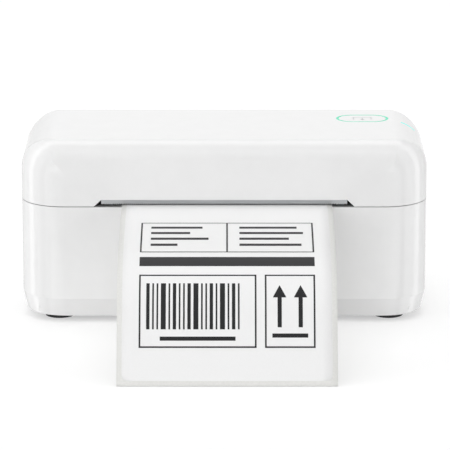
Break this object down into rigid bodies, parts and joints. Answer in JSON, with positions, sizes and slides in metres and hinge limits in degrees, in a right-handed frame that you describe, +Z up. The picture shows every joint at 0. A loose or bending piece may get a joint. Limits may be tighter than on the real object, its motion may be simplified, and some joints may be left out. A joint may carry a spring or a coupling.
{
  "type": "thermal label printer",
  "caption": "Desktop direct thermal label printer: rounded white casing, hinged cover with lit feed button, driven platen, sprung print head, media guides, a label hanging from the front slot.",
  "frame": {"origin": "on the table under the centre of the printer's body, in the plane of its feet", "axes": "+X to the right as seen from the front, +Y from the front to the rear, +Z up"},
  "size_m": [0.204, 0.1916, 0.093],
  "materials": {
    "white_casing": "gloss moulded ABS",
    "grey_inner": "matt moulded ABS",
    "guide_plastic": "moulded acetal",
    "foot_rubber": "moulded rubber",
    "roller_rubber": "ground silicone rubber",
    "cable_sleeve": "soft PVC",
    "sheet_steel": "galvanised sheet",
    "turned_steel": "ground bar",
    "screw_steel": "zinc plated",
    "motor_can": "drawn steel",
    "bronze": "sintered bronze",
    "pinion_brass": "hobbed brass",
    "gear_acetal": "moulded acetal",
    "circuit_board": "solder mask on glass epoxy",
    "chip_black": "moulded epoxy",
    "socket_black": "moulded nylon",
    "socket_shell": "tinned shell",
    "head_ceramic": "glazed alumina",
    "head_aluminium": "extruded",
    "ring_light": "lit acrylic",
    "bar_light": "lit acrylic",
    "label_paper": "thermal coated paper",
    "liner_paper": "glassine liner"
  },
  "bodies": {
    "base": {"lower_housing": "white_casing", "base_tray": "grey_inner", "rubber_feet": "foot_rubber", "base_screws": "screw_steel", "paper_deck": "grey_inner", "deck_screws": "screw_steel", "gap_sensor": "socket_black", "frame_left": "sheet_steel", "frame_right": "sheet_steel", "tie_rod": "turned_steel", "frame_screws": "screw_steel", "bushing_left": "bronze", "bushing_right": "bronze", "reduction_axle": "turned_steel", "axle_clip": "turned_steel", "stepper_motor": "motor_can", "motor_screws": "screw_steel", "pinion_screw": "screw_steel", "mainboard": "circuit_board", "board_screws": "screw_steel", "mainboard_parts": "chip_black", "dc_jack": "socket_black", "usb_socket": "socket_shell", "switch_body": "socket_black", "label_liner": "liner_paper", "printed_label": "label_paper", "cover_harness": "cable_sleeve"},
    "platen": {"platen_rubber": "roller_rubber", "platen_shaft": "turned_steel", "platen_gear": "gear_acetal"},
    "reduction": {"reduction_gear": "gear_acetal"},
    "motor_rotor": {"motor_shaft": "turned_steel", "motor_pinion": "pinion_brass"},
    "left_guide": {"guide_left": "guide_plastic"},
    "right_guide": {"guide_right": "guide_plastic"},
    "guide_gear": {"guide_pinion": "gear_acetal"},
    "rocker": {"switch_rocker": "socket_black"},
    "cover": {"upper_cover": "white_casing", "hinge_pins": "turned_steel", "light_ring": "ring_light", "status_light": "bar_light", "button_board": "circuit_board", "tact_switch": "chip_black", "led_chips": "ring_light", "cover_frame": "grey_inner", "cover_screws": "screw_steel", "latch_clip_left": "sheet_steel", "latch_clip_right": "sheet_steel", "tear_bar": "sheet_steel", "tear_bar_screws": "screw_steel", "head_pivot_rod": "turned_steel", "head_springs": "turned_steel"},
    "button": {"button_cap": "white_casing"},
    "head": {"print_head": "head_ceramic", "head_board": "circuit_board", "heat_sink": "head_aluminium", "head_bracket": "sheet_steel"}
  },
  "joints": [
    {"name": "cover_hinge", "type": "hinge", "parent": "base", "child": "cover", "pos_m": [0, 0.0355, 0.0659], "axis": [-1, 0, 0], "range_deg": [0, 80], "deforming": ["latch_clip_left", "latch_clip_right", "cover_harness"]},
    {"name": "head_float", "type": "hinge", "parent": "cover", "child": "head", "pos_m": [0, -0.001, 0.07225], "axis": [-1, 0, 0], "range_deg": [0, 2.5], "stiffness_Nm_per_rad": 4, "springref_deg": -8.59, "deforming": ["head_springs"]},
    {"name": "button_press", "type": "slide", "parent": "cover", "child": "button", "axis": [0, 0, -1], "range_m": [0, 0.0008], "stiffness_N_per_m": 600, "springref_m": -0.001},
    {"name": "platen_turn", "type": "hinge", "parent": "base", "child": "platen", "pos_m": [0, -0.024, 0.0525], "axis": [1, 0, 0], "continuous": true},
    {"name": "reduction_turn", "type": "hinge", "parent": "base", "child": "reduction", "pos_m": [0, -0.0152, 0.03726], "axis": [1, 0, 0], "continuous": true},
    {"name": "motor_turn", "type": "hinge", "parent": "base", "child": "motor_rotor", "pos_m": [0, 0.00134, 0.03124], "axis": [1, 0, 0], "continuous": true},
    {"name": "left_guide_slide", "type": "slide", "parent": "base", "child": "left_guide", "axis": [1, 0, 0], "range_m": [0, 0.033]},
    {"name": "right_guide_slide", "type": "slide", "parent": "base", "child": "right_guide", "axis": [-1, 0, 0], "range_m": [0, 0.033]},
    {"name": "guide_gear_turn", "type": "hinge", "parent": "base", "child": "guide_gear", "pos_m": [0, 0.019, 0.0572], "axis": [0, 0, 1], "range_deg": [-5, 276]},
    {"name": "rocker_tilt", "type": "hinge", "parent": "base", "child": "rocker", "pos_m": [0.03, 0.036, 0.02], "axis": [0, 0, -1], "range_deg": [0, 16]}
  ],
  "couplings": [
    {"joint": "reduction_turn", "follows": "platen_turn", "ratio": -1.75},
    {"joint": "motor_turn", "follows": "platen_turn", "ratio": 4.6667},
    {"joint": "right_guide_slide", "follows": "left_guide_slide", "ratio": 1},
    {"joint": "guide_gear_turn", "follows": "left_guide_slide", "rad_per_m": 142.86}
  ]
}
